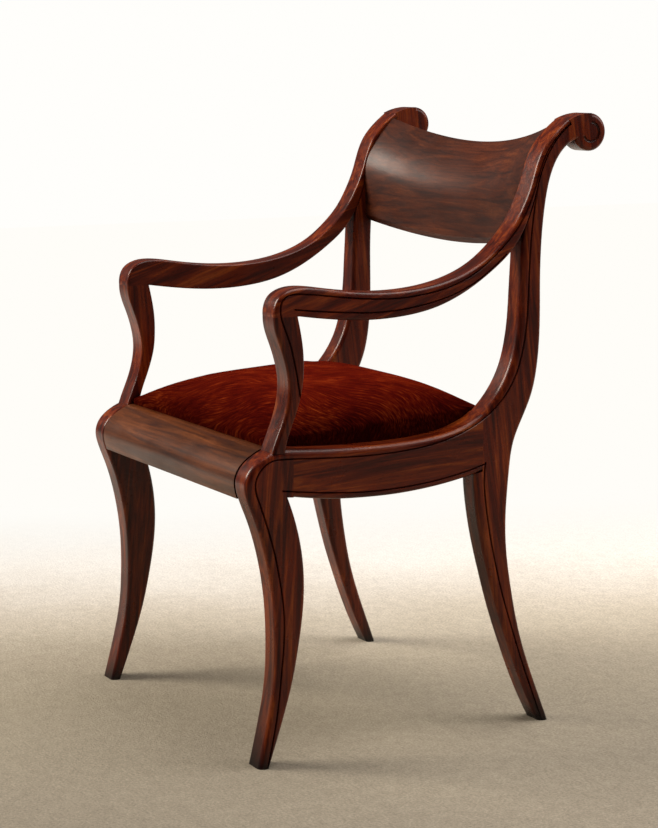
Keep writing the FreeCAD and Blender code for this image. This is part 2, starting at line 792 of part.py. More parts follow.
def make_seat_frame():
    """The four rails of the slip seat's frame: full length at the sides, let in between them.

    The front and back rails lie lower by a strap's thickness.
    """
    low = FRAME_LOW_FORMULA
    inner = "(%s - sizes.frame_wide)" % SEAT_HALF_FORMULA
    rear = "%s + %s - sizes.frame_wide" % (SEAT_FRONT_FORMULA, SEAT_DEEP_FORMULA)
    side_spans = ("sizes.frame_wide", SEAT_DEEP_FORMULA, "sizes.frame_high - " + low)
    cross_spans = ("2 * " + inner, "sizes.frame_wide", "sizes.frame_high - sizes.strap_thick - " + low)
    return {
        "seat_frame_left": make_box("seat_frame_left", (inner, SEAT_FRONT_FORMULA, low), side_spans),
        "seat_frame_right": make_box(
            "seat_frame_right", ("-" + SEAT_HALF_FORMULA, SEAT_FRONT_FORMULA, low), side_spans),
        "seat_frame_front": make_box(
            "seat_frame_front", ("-" + inner, SEAT_FRONT_FORMULA, low), cross_spans),
        "seat_frame_back": make_box("seat_frame_back", ("-" + inner, rear, low), cross_spans),
    }


def make_frame_dowels():
    """Two dowels in each corner joint of the slip seat's frame."""
    half_width, front, back = seat_plan()
    wide = size("frame_wide")
    middle = (size("seat_low") + size("frame_high")) / 2
    reach = size("dowel_long") / 2
    joint = half_width - wide
    dowels = []
    for sign in SIDES.values():
        for centre_y in (front + wide / 2, back - wide / 2):
            for apart in (-wide / 4, wide / 4):
                start = (sign * (joint - reach), centre_y + apart, middle)
                dowels.append(rod(start, (sign, 0, 0), size("dowel_radius"), size("dowel_long")))
    return group("seat_frame_dowels", dowels)


def strap_places():
    """Middle lines of the webbing straps: three along the seat and three across it."""
    middle = size("seat_middle")
    apart_x = size("strap_apart_x")
    apart_y = size("strap_apart_y")
    return (-apart_x, 0.0, apart_x), (middle - apart_y, middle, middle + apart_y)


def make_webbing():
    """Webbing straps in two layers, tacked to the top of the slip seat's frame."""
    half_width, front, back = seat_plan()
    wide = size("strap_wide")
    thick = size("strap_thick")
    short = size("strap_end")
    high = size("frame_high")
    along, across = strap_places()
    straps = []
    for place in along:
        corner = Vector(place - wide / 2, front + short, high - thick)
        straps.append(Part.makeBox(wide, back - front - 2 * short, thick, corner))
    for place in across:
        corner = Vector(short - half_width, place - wide / 2, high)
        straps.append(Part.makeBox(2 * (half_width - short), wide, thick, corner))
    return group("seat_webbing", straps)


def make_tacks():
    """Two tacks at each end of each strap, with flat heads on the webbing."""
    half_width, front, back = seat_plan()
    along, across = strap_places()
    high = size("frame_high")
    inset = size("tack_inset")
    spots = []
    for apart in (-size("strap_wide") / 4, size("strap_wide") / 4):
        for place in along:
            spots.append((place + apart, front + inset, high))
            spots.append((place + apart, back - inset, high))
        for place in across:
            spots.append((half_width - inset, place + apart, high + size("strap_thick")))
            spots.append((inset - half_width, place + apart, high + size("strap_thick")))
    tacks = []
    for spot in spots:
        shank = rod(spot, (0, 0, -1), size("tack_radius"), size("tack_long"))
        head = rod(spot, (0, 0, 1), size("tack_head"), size("tack_head_thick"))
        tacks.append(shank.fuse(head).removeSplitter())
    return group("webbing_tacks", tacks)


def make_seat_cover(padding, hessian_high):
    """Velvet cover drawn over the padding, down the sides of the seat frame and in under its edge."""
    outer = make_cushion_form("cover_form", None, size("seat_low"))
    low = FRAME_LOW_FORMULA
    hollow = make_inset_box("cover_hollow", "0", low, "%g - %s" % (hessian_high + 1.0, low))
    mouth = make_inset_box("cover_mouth", "sizes.turn_under", "sizes.seat_low - 5", "10")
    return cut_away("seat_cover", outer, [padding, hollow, mouth])


def build_frame():
    """The fixed wooden frame of the chair."""
    parts = {}
    front_rail = make_front_rail()
    rear_rail = make_rear_rail()
    crest_rail = make_crest_rail()
    screws = make_block_screws()
    bores = make_screw_bores()
    support_dowels = make_support_dowels()
    arm_dowels = make_arm_dowels()
    for side in SIDES:
        long_quirk = make_quirk("long_quirk", side, LONG_QUIRK)
        arm_quirk = make_quirk("arm_quirk", side, ARM_QUIRK)
        arm_foot_quirk = make_quirk("arm_foot_quirk", side, ARM_FOOT_QUIRK)
        rail_quirk = make_quirk("rail_quirk", side, RAIL_FOOT_QUIRK)
        post_quirk = make_quirk("post_quirk", side, POST_QUIRK)
        leg = make_front_leg(side)
        rail = make_side_rail(side)
        post = make_back_post(side)
        arm = make_arm(side)
        support = make_arm_support(side)
        roll = make_scroll_roll(side)
        joined = doc.addObject("Part::Fuse", side + "_post_and_roll")
        joined.Base = post
        joined.Tool = roll
        doc.recompute()
        post.Label = side + "_post_board"
        front_leg = cut_away(
            side + "_front_leg", leg, [front_rail, rail, support_dowels, long_quirk, rail_quirk])
        parts[side + "_front_leg"] = splay_leg(side + "_front_leg", front_leg, side)
        parts[side + "_side_rail"] = cut_away(
            side + "_side_rail", rail, [screws, long_quirk, rail_quirk])
        back_post = cut_away(
            side + "_back_post", joined, [rail, rear_rail, crest_rail, arm_dowels, arm, long_quirk,
                                          rail_quirk, post_quirk])
        parts[side + "_back_post"] = splay_leg(side + "_back_post", back_post, side)
        parts[side + "_arm"] = cut_away(
            side + "_arm", arm, [support_dowels, arm_dowels, arm_quirk, arm_foot_quirk])
        parts[side + "_arm_support"] = cut_away(
            side + "_arm_support", support, [leg, support_dowels, arm_quirk])
    for front, place in ((True, "front"), (False, "rear")):
        for side in SIDES:
            name = "%s_%s_corner_block" % (place, side)
            block = make_corner_block(name, side, front)
            parts[name] = cut_away(name, block, [screws, bores])
    parts["front_rail"] = cut_away("front_rail", front_rail, [screws])
    parts["rear_rail"] = cut_away("rear_rail", rear_rail, [screws])
    parts["crest_rail"] = crest_rail
    parts["corner_block_screws"] = screws
    parts["arm_support_dowels"] = support_dowels
    parts["arm_dowels"] = arm_dowels
    return parts


def build_seat():
    """The slip seat, which lifts out of the frame in one piece."""
    parts = make_seat_frame()
    dowels = make_frame_dowels()
    tacks = make_tacks()
    for name in list(parts):
        parts[name] = cut_away(name, parts[name], [dowels, tacks])
    parts["seat_frame_dowels"] = dowels
    parts["webbing_tacks"] = tacks
    parts["seat_webbing"] = cut_away("seat_webbing", make_webbing(), [tacks])
    parts["seat_hessian"] = make_inset_box("seat_hessian", "2", HESSIAN_LOW_FORMULA, "sizes.hessian_thick")
    parts["dust_cover"] = make_inset_box(
        "dust_cover", "(sizes.turn_under + 0.5)", "sizes.seat_low", "sizes.dust_thick")
    hessian_high = size("frame_high") + size("strap_thick") + size("tack_head_thick") + size("hessian_thick")
    padding = make_cushion_form("seat_padding", "cover_thick", hessian_high)
    parts["seat_padding"] = padding
    parts["seat_cover"] = make_seat_cover(padding, hessian_high)
    return parts


def check_document():
    """Stop if any object of the document failed."""
    doc.recompute()
    for thing in doc.Objects:
        if "Invalid" in thing.State or "Error" in thing.State:
            raise RuntimeError("failed object: " + thing.Name)


def write_parts(parts):
    """Check each sub-part's shape and write it to its own file."""
    os.makedirs("parts", exist_ok=True)
    for name, thing in sorted(parts.items()):
        shape = thing.Shape
        if shape.isNull() or not shape.isValid():
            raise RuntimeError("bad shape: " + name)
        if thing.Label != name:
            raise RuntimeError("label of " + name + " is " + thing.Label)
        shape.exportStep("parts/%s.step" % name)
        print("%-24s solids %2d  volume %9.0f mm3" % (name, len(shape.Solids), shape.Volume))


sub_parts = build_frame()
sub_parts.update(build_seat())
check_document()
write_parts(sub_parts)
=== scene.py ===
import math

import bpy
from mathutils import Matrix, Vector


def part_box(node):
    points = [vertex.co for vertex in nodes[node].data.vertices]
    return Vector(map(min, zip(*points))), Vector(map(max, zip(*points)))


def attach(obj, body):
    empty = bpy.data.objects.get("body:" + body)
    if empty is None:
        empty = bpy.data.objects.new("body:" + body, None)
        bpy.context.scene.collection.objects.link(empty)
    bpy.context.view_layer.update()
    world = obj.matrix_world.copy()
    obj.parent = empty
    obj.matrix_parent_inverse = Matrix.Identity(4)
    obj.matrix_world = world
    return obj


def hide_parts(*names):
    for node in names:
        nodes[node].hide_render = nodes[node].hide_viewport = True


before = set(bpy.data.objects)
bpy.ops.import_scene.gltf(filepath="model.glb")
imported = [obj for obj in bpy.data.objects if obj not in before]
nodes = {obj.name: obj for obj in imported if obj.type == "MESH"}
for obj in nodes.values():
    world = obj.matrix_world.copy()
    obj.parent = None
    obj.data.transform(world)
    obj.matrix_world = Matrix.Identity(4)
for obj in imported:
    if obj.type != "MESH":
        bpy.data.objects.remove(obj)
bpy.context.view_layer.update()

# A klismos armchair in polished mahogany with a velvet slip seat.
# Lengths are in metres, in the frame's own axes: +X is the sitter's left, -Y the front, +Z up.

MM = 0.001

# Camera, as solved from the photograph's own perspective
CAMERA_AZIMUTH = 60.7275
CAMERA_ELEVATION = 9.2058
CAMERA_PLACE = (2.7163, -1.5420, 0.9285)
CAMERA_LENS = 93.89
CAMERA_SENSOR = 36.0

turn = math.radians(CAMERA_AZIMUTH)
tilt = math.radians(CAMERA_ELEVATION)
towards_camera = Vector((
    math.sin(turn) * math.cos(tilt),
    -math.cos(turn) * math.cos(tilt),
    math.sin(tilt)))
camera_right = Vector((math.cos(turn), math.sin(turn), 0.0))
away_on_floor = Vector((-math.sin(turn), math.cos(turn), 0.0))


def linear(code):
    """A colour written as sRGB hex, as linear red, green, blue and alpha."""
    shares = [int(code[place:place + 2], 16) / 255.0 for place in (0, 2, 4)]
    return tuple(
        share / 12.92 if share <= 0.04045 else ((share + 0.055) / 1.055) ** 2.4
        for share in shares) + (1.0,)


def add(tree, kind, inputs=None, stops=None, **settings):
    """Add a shader node, with its settings, its ramp stops and its values or links."""
    node = tree.nodes.new("ShaderNode" + kind)
    for name, value in settings.items():
        setattr(node, name, value)
    if stops:
        elements = node.color_ramp.elements
        while len(elements) < len(stops):
            elements.new(1.0)
        for element, (place, colour) in zip(elements, stops):
            element.position = place
            element.color = colour
    for name, value in (inputs or {}).items():
        socket = node.inputs[name]
        if isinstance(value, bpy.types.NodeSocket):
            tree.links.new(value, socket)
        else:
            socket.default_value = value
    return node


def new_material(name):
    """An empty node material and its tree."""
    material = bpy.data.materials.new(name)
    material.use_nodes = True
    material.node_tree.nodes.clear()
    return material, material.node_tree


def finish_material(tree, shader):
    """Link a shader to the material's output."""
    add(tree, "OutputMaterial", {"Surface": shader})


def grey(level):
    """A grey of the given linear level, for ramps that hold a factor."""
    return (level, level, level, 1.0)


# Mixing node sockets: the colour mix has its factor, A, B and result at these places
MIX_FACTOR = 0
MIX_A = 6
MIX_B = 7
MIX_RESULT = 2


def mix(tree, blend, factor, first, second):
    """The result of one colour mix."""
    node = add(tree, "Mix", {MIX_FACTOR: factor, MIX_A: first, MIX_B: second},
               data_type="RGBA", blend_type=blend)
    return node.outputs[MIX_RESULT]


def calculate(tree, operation, *values):
    """The result of one operation on numbers or sockets."""
    node = add(tree, "Math", dict(enumerate(values)), operation=operation)
    return node.outputs["Value"]


def along_grain(tree, spot, grain_axis, across, along, degrees=0.0):
    """Coordinates stretched along the grain, which is turned about X by an angle."""
    spans = (along, across, across) if grain_axis == "x" else (across, along, across)
    turned = (math.radians(degrees), 0.0, 0.0)
    return add(tree, "Mapping", {"Vector": spot, "Rotation": turned, "Scale": spans},
               vector_type="TEXTURE").outputs["Vector"]


# Wood

def mahogany(name, grain_axis, grain_degrees, shades, figure=1.0, sheen_rough=0.30):
    """Cuban mahogany, sawn, carved and french polished, then handled for many years.

    It gives the eye a deep red brown with long soft stripes along the grain, fine dark pores, a
    satin gloss, dark wax with painted shade in the quirks and hollows, and feet darker towards the floor.
    The grain runs along the given axis before it is turned about X. Figure is the strength of the
    broad patches.
    """
    material, tree = new_material(name)
    spot = add(tree, "TexCoord").outputs["Object"]

    def grain(across, along):
        return along_grain(tree, spot, grain_axis, across, along, grain_degrees)

    stripes = add(tree, "TexNoise", {
        "Vector": grain(11 * MM, 190 * MM), "Scale": 1.0, "Detail": 5.0, "Roughness": 0.62,
        "Distortion": 0.8})
    dark, middle, light, pale = [linear(code) for code in shades]
    wood = add(tree, "ValToRGB", {"Fac": stripes.outputs["Fac"]}, stops=[
        (0.33, dark), (0.46, middle), (0.56, light), (0.68, pale)]).outputs["Color"]
    cloud = add(tree, "TexNoise", {
        "Vector": grain(60 * MM, 160 * MM), "Scale": 1.0, "Detail": 2.0, "Roughness": 0.5})
    patches = add(tree, "ValToRGB", {"Fac": cloud.outputs["Fac"]}, stops=[
        (0.32, grey(1.0 - 0.34 * figure)), (0.68, grey(1.0 + 0.16 * figure))]).outputs["Color"]
    wood = mix(tree, "MULTIPLY", 1.0, wood, patches)
    fibre = add(tree, "TexNoise", {
        "Vector": grain(1.7 * MM, 60 * MM), "Scale": 1.0, "Detail": 2.0, "Roughness": 0.6})
    fibres = add(tree, "ValToRGB", {"Fac": fibre.outputs["Fac"]}, stops=[
        (0.30, grey(0.70)), (0.70, grey(1.12))]).outputs["Color"]
    wood = mix(tree, "MULTIPLY", 0.8, wood, fibres)
    # Pores are 0.2 mm wide on the real wood, and are drawn four times as coarse to show
    pore = add(tree, "TexNoise", {
        "Vector": grain(0.8 * MM, 9 * MM), "Scale": 1.0, "Detail": 1.0, "Roughness": 0.5})
    pores = add(tree, "MapRange", {
        "Value": pore.outputs["Fac"], "From Min": 0.60, "From Max": 0.68}).outputs["Result"]
    wood = mix(tree, "MULTIPLY", pores, wood, grey(0.62))

    # Dark wax and painted shade: the occlusion darkens the quirks, hollows and joins between parts.
    hollow = add(tree, "AmbientOcclusion", {"Distance": 9 * MM}, samples=8).outputs["AO"]
    wax_and_painted_shade = add(tree, "MapRange", {
        "Value": hollow, "From Min": 0.35, "From Max": 0.95,
        "To Min": 1.0, "To Max": 0.0}).outputs["Result"]
    wood = mix(tree, "MULTIPLY", wax_and_painted_shade, wood, linear("6e452e"))

    # Darker towards the floor: the colour darkens over the lowest few centimetres of the feet.
    height = add(tree, "SeparateXYZ", {"Vector": spot}).outputs["Z"]
    darker_towards_floor = add(tree, "MapRange", {
        "Value": height, "From Min": 4 * MM, "From Max": 46 * MM, "To Min": 1.0, "To Max": 0.0})
    wood = mix(tree, "MULTIPLY", darker_towards_floor.outputs["Result"], wood, linear("562420"))

    rubbed = add(tree, "TexNoise", {"Vector": spot, "Scale": 22.0, "Detail": 3.0, "Roughness": 0.55})
    gloss = add(tree, "MapRange", {
        "Value": rubbed.outputs["Fac"], "From Min": 0.3, "From Max": 0.7,
        "To Min": sheen_rough - 0.05, "To Max": sheen_rough + 0.07}).outputs["Result"]
    relief = calculate(tree, "SUBTRACT", pores, fibre.outputs["Fac"])
    bump = add(tree, "Bump", {
        "Height": relief, "Strength": 0.12, "Distance": 0.3 * MM}, invert=True).outputs["Normal"]
    shader = add(tree, "BsdfPrincipled", {
        "Base Color": wood, "Roughness": gloss, "Specular IOR Level": 0.24, "Normal": bump,
        "Coat Weight": 0.16, "Coat Roughness": sheen_rough - 0.20})
    finish_material(tree, shader.outputs["BSDF"])
    return material


# Dark, middle, light and pale stripes of the wood
SIDE_SHADES = ("350b03", "531504", "6e2607", "8d4012")
RAIL_SHADES = ("3c1a0b", "53290f", "643314", "78431e")
CREST_SHADES = ("310f05", "451a07", "53220a", "632e10")


material_of = {}
leg_wood = mahogany("mahogany_legs", "y", 86.0, SIDE_SHADES, figure=1.3)
post_wood = mahogany("mahogany_posts", "y", 97.0, SIDE_SHADES, figure=0.8)
side_rail_wood = mahogany("mahogany_side_rails", "y", 3.0, SIDE_SHADES, figure=0.6)
arm_wood = mahogany("mahogany_arms", "y", 18.0, SIDE_SHADES, figure=0.7)
support_wood = mahogany("mahogany_arm_supports", "y", 94.0, SIDE_SHADES)
front_rail_wood = mahogany("mahogany_front_rail", "x", 0.0, RAIL_SHADES, sheen_rough=0.36)
rear_rail_wood = mahogany("mahogany_rear_rail", "x", 0.0, SIDE_SHADES)
crest_wood = mahogany(
    "mahogany_crest_rail", "x", 0.0, CREST_SHADES, figure=0.8, sheen_rough=0.44)
for side in ("left", "right"):
    material_of[side + "_front_leg"] = leg_wood
    material_of[side + "_back_post"] = post_wood
    material_of[side + "_side_rail"] = side_rail_wood
    material_of[side + "_arm"] = arm_wood
    material_of[side + "_arm_support"] = support_wood
material_of["front_rail"] = front_rail_wood
material_of["rear_rail"] = rear_rail_wood
material_of["crest_rail"] = crest_wood


def beech(name, shades, grain_axis, fleck_shade):
    """Steamed beech, sawn and left bare, gone brown with age.

    It gives the eye a dull tan with short dark flecks along the grain and no gloss.
    """
    material, tree = new_material(name)
    spot = add(tree, "TexCoord").outputs["Object"]
    stripes = add(tree, "TexNoise", {
        "Vector": along_grain(tree, spot, grain_axis, 5 * MM, 90 * MM),
        "Scale": 1.0, "Detail": 3.0, "Roughness": 0.6})
    wood = add(tree, "ValToRGB", {"Fac": stripes.outputs["Fac"]}, stops=[
        (0.35, linear(shades[0])), (0.65, linear(shades[1]))]).outputs["Color"]
    fleck = add(tree, "TexNoise", {
        "Vector": along_grain(tree, spot, grain_axis, 0.9 * MM, 4 * MM),
        "Scale": 1.0, "Detail": 1.0, "Roughness": 0.5})
    flecks = add(tree, "MapRange", {
        "Value": fleck.outputs["Fac"], "From Min": 0.60, "From Max": 0.66}).outputs["Result"]
    wood = mix(tree, "MULTIPLY", flecks, wood, grey(fleck_shade))
    bump = add(tree, "Bump", {
        "Height": stripes.outputs["Fac"], "Strength": 0.3, "Distance": 0.4 * MM}).outputs["Normal"]
    shader = add(tree, "BsdfPrincipled", {
        "Base Color": wood, "Roughness": 0.72, "IOR": 1.5, "Normal": bump})
    finish_material(tree, shader.outputs["BSDF"])
    return material


beech_blocks = beech("beech_corner_blocks", ("7d5a3c", "9c7650"), "y", 0.55)
beech_seat_frame = beech("beech_seat_frame", ("8a6748", "a8825a"), "x", 0.6)
beech_dowels = beech("beech_dowels", ("96724c", "b08a62"), "y", 0.7)
for node_name in nodes:
    if node_name.endswith("corner_block"):
        material_of[node_name] = beech_blocks
    elif node_name.endswith("_dowels"):
        material_of[node_name] = beech_dowels
    elif node_name.startswith("seat_frame"):
        material_of[node_name] = beech_seat_frame


# Metal fastenings

def steel(name, shades, roughness, scale):
    """Drawn steel wire, cut and left as made, with a thin dull oxide.

    It gives the eye a grey metal with soft darker patches.
    """
    material, tree = new_material(name)
    spot = add(tree, "TexCoord").outputs["Object"]
    patch = add(tree, "TexNoise", {"Vector": spot, "Scale": scale, "Detail": 3.0, "Roughness": 0.6})
    metal = add(tree, "ValToRGB", {"Fac": patch.outputs["Fac"]}, stops=[
        (0.35, linear(shades[0])), (0.65, linear(shades[1]))]).outputs["Color"]
    rough = add(tree, "MapRange", {
        "Value": patch.outputs["Fac"],
        "To Min": roughness + 0.1, "To Max": roughness - 0.1}).outputs["Result"]
    shader = add(tree, "BsdfPrincipled", {"Base Color": metal, "Metallic": 1.0, "Roughness": rough})
    finish_material(tree, shader.outputs["BSDF"])
    return material


material_of["corner_block_screws"] = steel("steel_screws", ("5c5a58", "8a8886"), 0.42, 400.0)
material_of["webbing_tacks"] = steel("blued_steel_tacks", ("1c1f26", "3a3f4a"), 0.45, 500.0)


# Cloth inside the seat

def woven(name, warp, weft, thread, shades, sheen):
    """Plain woven cloth of spun yarn, such as jute or cotton.

    It gives the eye a matt grid of threads that pass over and under each other. Threads run along
    X and Y at the given spacing.
    """
    material, tree = new_material(name)
    spot = add(tree, "TexCoord").outputs["Object"]
    lie = add(tree, "Mapping", {"Vector": spot, "Scale": (thread, thread, 1.0)},
              vector_type="TEXTURE").outputs["Vector"]
    parts = add(tree, "SeparateXYZ", {"Vector": lie})
    waves = []
    for axis in ("X", "Y"):
        turns = calculate(tree, "MULTIPLY", parts.outputs[axis], math.pi)
        waves.append(calculate(tree, "SINE", turns))
    over = calculate(tree, "MULTIPLY", *waves)
    yarn = add(tree, "MapRange", {"Value": over, "From Min": -0.6, "From Max": 0.6}).outputs["Result"]
    cloth = mix(tree, "MIX", yarn, linear(warp), linear(weft))
    slub = add(tree, "TexNoise", {"Vector": lie, "Scale": 0.35, "Detail": 2.0, "Roughness": 0.6})
    uneven = add(tree, "ValToRGB", {"Fac": slub.outputs["Fac"]}, stops=[
        (0.3, grey(shades[0])), (0.7, grey(shades[1]))]).outputs["Color"]
    cloth = mix(tree, "MULTIPLY", 1.0, cloth, uneven)
    bump = add(tree, "Bump", {"Height": over, "Strength": 0.5, "Distance": 0.3 * MM}).outputs["Normal"]
    shader = add(tree, "BsdfPrincipled", {
        "Base Color": cloth, "Roughness": 0.9, "Sheen Weight": sheen, "Normal": bump})
    finish_material(tree, shader.outputs["BSDF"])
    return material


material_of["seat_webbing"] = woven("jute_webbing", "7a6240", "8f7650", 2.0 * MM, (0.75, 1.1), 0.1)
material_of["seat_hessian"] = woven("jute_hessian", "8a7048", "9d845a", 1.6 * MM, (0.7, 1.1), 0.1)
material_of["dust_cover"] = woven("black_cotton_dust_cover", "100f0f", "1b1a1a", 1.2 * MM, (0.8, 1.1), 0.2)


def cotton_wadding(name):
    """Carded cotton wadding over curled hair.

    It gives the eye an off white mat of loose fibres in soft lumps.
    """
    material, tree = new_material(name)
    spot = add(tree, "TexCoord").outputs["Object"]
    lump = add(tree, "TexNoise", {"Vector": spot, "Scale": 90.0, "Detail": 6.0, "Roughness": 0.7})
    cotton = add(tree, "ValToRGB", {"Fac": lump.outputs["Fac"]}, stops=[
        (0.3, linear("b9b09c")), (0.7, linear("ddd6c6"))]).outputs["Color"]
    bump = add(tree, "Bump", {
        "Height": lump.outputs["Fac"], "Strength": 0.8, "Distance": 1.5 * MM}).outputs["Normal"]
    shader = add(tree, "BsdfPrincipled", {
        "Base Color": cotton, "Roughness": 1.0, "Sheen Weight": 0.3, "Normal": bump})
    finish_material(tree, shader.outputs["BSDF"])
    return material


material_of["seat_padding"] = cotton_wadding("cotton_wadding")


def velvet(name):
    """Cotton velvet, dyed rust red, with its pile brushed this way and that by use.

    It gives the eye a red darkened to near black low on the sides as painted shade, an orange
    glow on the crown as painted light, and fine curved streaks where the pile leans one way or
    the other.
    """
    material, tree = new_material(name)
    spot = add(tree, "TexCoord").outputs["Object"]
    swirl = add(tree, "TexNoise", {"Vector": spot, "Scale": 8.0, "Detail": 0.0, "Roughness": 0.5})
    swing = add(tree, "VectorMath", {0: swirl.outputs["Color"], 1: (0.5, 0.5, 0.5)},
                operation="SUBTRACT").outputs["Vector"]
    bend = add(tree, "VectorMath", {0: swing, 3: 0.10}, operation="SCALE").outputs["Vector"]
    bent = add(tree, "VectorMath", {0: spot, 1: bend}, operation="ADD").outputs["Vector"]
    lie = add(tree, "Mapping", {
        "Vector": bent, "Rotation": (0.0, 0.0, math.radians(35.0)),
        "Scale": (34 * MM, 1.9 * MM, 9 * MM)},
        vector_type="TEXTURE").outputs["Vector"]
    streak = add(tree, "TexNoise", {"Vector": lie, "Scale": 1.0, "Detail": 3.0, "Roughness": 0.6})
    lean = add(tree, "TexNoise", {"Vector": bent, "Scale": 16.0, "Detail": 3.0, "Roughness": 0.6})
    streaks = calculate(tree, "MULTIPLY", streak.outputs["Fac"], 0.62)
    nap = calculate(tree, "MULTIPLY_ADD", lean.outputs["Fac"], 0.38, streaks)
    pile = add(tree, "ValToRGB", {"Fac": nap}, stops=[
        (0.34, linear("260404")), (0.48, linear("410806")), (0.57, linear("5c1808")),
        (0.68, linear("8a3816"))]).outputs["Color"]
    # Painted light and shade: by height, the pile is darkened low on the sides and lightened on the crown.
    height = add(tree, "SeparateXYZ", {"Vector": spot}).outputs["Z"]
    painted_light_by_height = add(tree, "MapRange", {
        "Value": height, "From Min": 436 * MM, "From Max": 486 * MM}).outputs["Result"]
    painted_light_and_shade = add(tree, "ValToRGB", {"Fac": painted_light_by_height}, stops=[
        (0.0, grey(0.40)), (1.0, grey(1.08))]).outputs["Color"]
    pile = mix(tree, "MULTIPLY", 1.0, pile, painted_light_and_shade)
    fuzz = add(tree, "TexNoise", {"Vector": spot, "Scale": 900.0, "Detail": 2.0, "Roughness": 0.6})
    relief = calculate(tree, "MULTIPLY_ADD", fuzz.outputs["Fac"], 0.4, streak.outputs["Fac"])
    bump = add(tree, "Bump", {"Height": relief, "Strength": 0.5, "Distance": 0.8 * MM}).outputs["Normal"]
    shader = add(tree, "BsdfPrincipled", {
        "Base Color": pile, "Roughness": 0.9, "Specular IOR Level": 0.0, "Sheen Weight": 0.16,
        "Sheen Roughness": 0.35, "Sheen Tint": linear("e0481c"), "Normal": bump})
    finish_material(tree, shader.outputs["BSDF"])
    return material


def dress(thing, material):
    """Give an object one material all over."""
    thing.data.materials.clear()
    thing.data.materials.append(material)


for node_name, node_object in nodes.items():
    if node_name in material_of:
        dress(node_object, material_of[node_name])


# Velvet cover of the slip seat

COVER_LOW, COVER_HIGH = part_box("seat_cover")
COVER_MIDDLE = (COVER_LOW + COVER_HIGH) / 2
COVER_HALF_X = (COVER_HIGH[0] - COVER_LOW[0]) / 2
COVER_HALF_Y = (COVER_HIGH[1] - COVER_LOW[1]) / 2
# Height of the sides at the front, how much higher they are at the rear, and the dome over them
COVER_SIDE = 39 * MM
COVER_REAR_RISE = 20 * MM
COVER_CROWN = 41 * MM
DOME_POWER = 3.4
DOME_ROOT = 0.65
# The cover starts a little wide, as the remesh rounds its edges, and low in the middle
COVER_SPREAD = 0.8 * MM
COVER_SHRINK = 3 * MM
COVER_CUTS = 47
COVER_VOXEL = 5.5 * MM
# Air pressure, its run, the stiffness of the cloth, and how far a point may move
PUFF_PRESSURE = 4.0
PUFF_FRAMES = 20
PUFF_STIFFNESS = 18.0
PUFF_BENDING = 1.5
COVER_CAP = 4 * MM
COVER_THICK = 1.6 * MM
TURN_UNDER = 14 * MM
UNDERSIDE = 4 * MM


def alone(thing):
    """Select one object only, and make it active."""
    bpy.ops.object.select_all(action="DESELECT")
    thing.select_set(True)
    bpy.context.view_layer.objects.active = thing


def crown(across, along):
    """Height of the cushion's dome, from 0 to 1, at a place from -1 to 1 each way."""
    lengthwise = max(0.0, 1 - abs(across) ** DOME_POWER) ** DOME_ROOT
    crosswise = max(0.0, 1 - abs(along) ** DOME_POWER) ** DOME_ROOT
    return lengthwise * crosswise


def edge_height(y):
    """Height of the edge where the cushion's sides turn into its dome, which rises to the rear."""
    along = (y - COVER_MIDDLE[1]) / COVER_HALF_Y
    return COVER_LOW[2] + COVER_SIDE + COVER_REAR_RISE * (1 + along) / 2


def make_cover(shrink):
    """The velvet cover: a block domed, lower in the middle, where the cloth run swells it."""
    bpy.ops.object.select_all(action="DESELECT")
    bpy.ops.mesh.primitive_cube_add(size=1.0, location=(
        COVER_MIDDLE[0], COVER_MIDDLE[1], COVER_LOW[2] + COVER_SIDE / 2))
    cover = bpy.context.object
    cover.name = "velvet_seat_cover"
    cover.scale = (2 * (COVER_HALF_X + COVER_SPREAD), 2 * (COVER_HALF_Y + COVER_SPREAD), COVER_SIDE)
    bpy.ops.object.transform_apply(location=True, rotation=True, scale=True)
    bpy.ops.object.mode_set(mode="EDIT")
    bpy.ops.mesh.select_all(action="SELECT")
    bpy.ops.mesh.subdivide(number_cuts=COVER_CUTS)
    bpy.ops.object.mode_set(mode="OBJECT")
    for point in cover.data.vertices:
        across = (point.co.x - COVER_MIDDLE[0]) / COVER_HALF_X
        along = (point.co.y - COVER_MIDDLE[1]) / COVER_HALF_Y
        share = (point.co.z - COVER_LOW[2]) / COVER_SIDE
        swell = shrink * max(0.0, (1 - across ** 2) * (1 - along ** 2)) ** 2
        rise = COVER_REAR_RISE * (1 + along) / 2 + COVER_CROWN * crown(across, along) - swell
        point.co.z += max(0.0, share) * rise
    return cover


def puff(cover):
    """Remesh the cover evenly and let air pressure swell its dome as a cloth.

    The sides are held. A point moves up to a cap, and one that would sink stays where it was.
    """
    alone(cover)
    cover.data.remesh_voxel_size = COVER_VOXEL
    bpy.ops.object.voxel_remesh()
    start = [point.co.copy() for point in cover.data.vertices]
    held = cover.vertex_groups.new(name="held")
    fixed = [point.index for point in cover.data.vertices if point.co.z < edge_height(point.co.y)]
    held.add(fixed, 1.0, "REPLACE")
    cloth = cover.modifiers.new("cloth", "CLOTH")
    cloth.settings.use_pressure = True
    cloth.settings.uniform_pressure_force = PUFF_PRESSURE
    cloth.settings.effector_weights.gravity = 0.0
    cloth.settings.vertex_group_mass = "held"
    cloth.settings.tension_stiffness = PUFF_STIFFNESS
    cloth.settings.compression_stiffness = PUFF_STIFFNESS
    cloth.settings.bending_stiffness = PUFF_BENDING
    scene = bpy.context.scene
    for number in range(1, PUFF_FRAMES + 1):
        scene.frame_set(number)
    bpy.ops.object.modifier_apply(modifier="cloth")
    scene.frame_set(1)
    for point, first in zip(cover.data.vertices, start):
        moved = point.co - first
        if moved.z < 0.0:
            point.co = first
        elif moved.length > COVER_CAP:
            point.co = first + moved.normalized() * COVER_CAP
    cover.vertex_groups.clear()


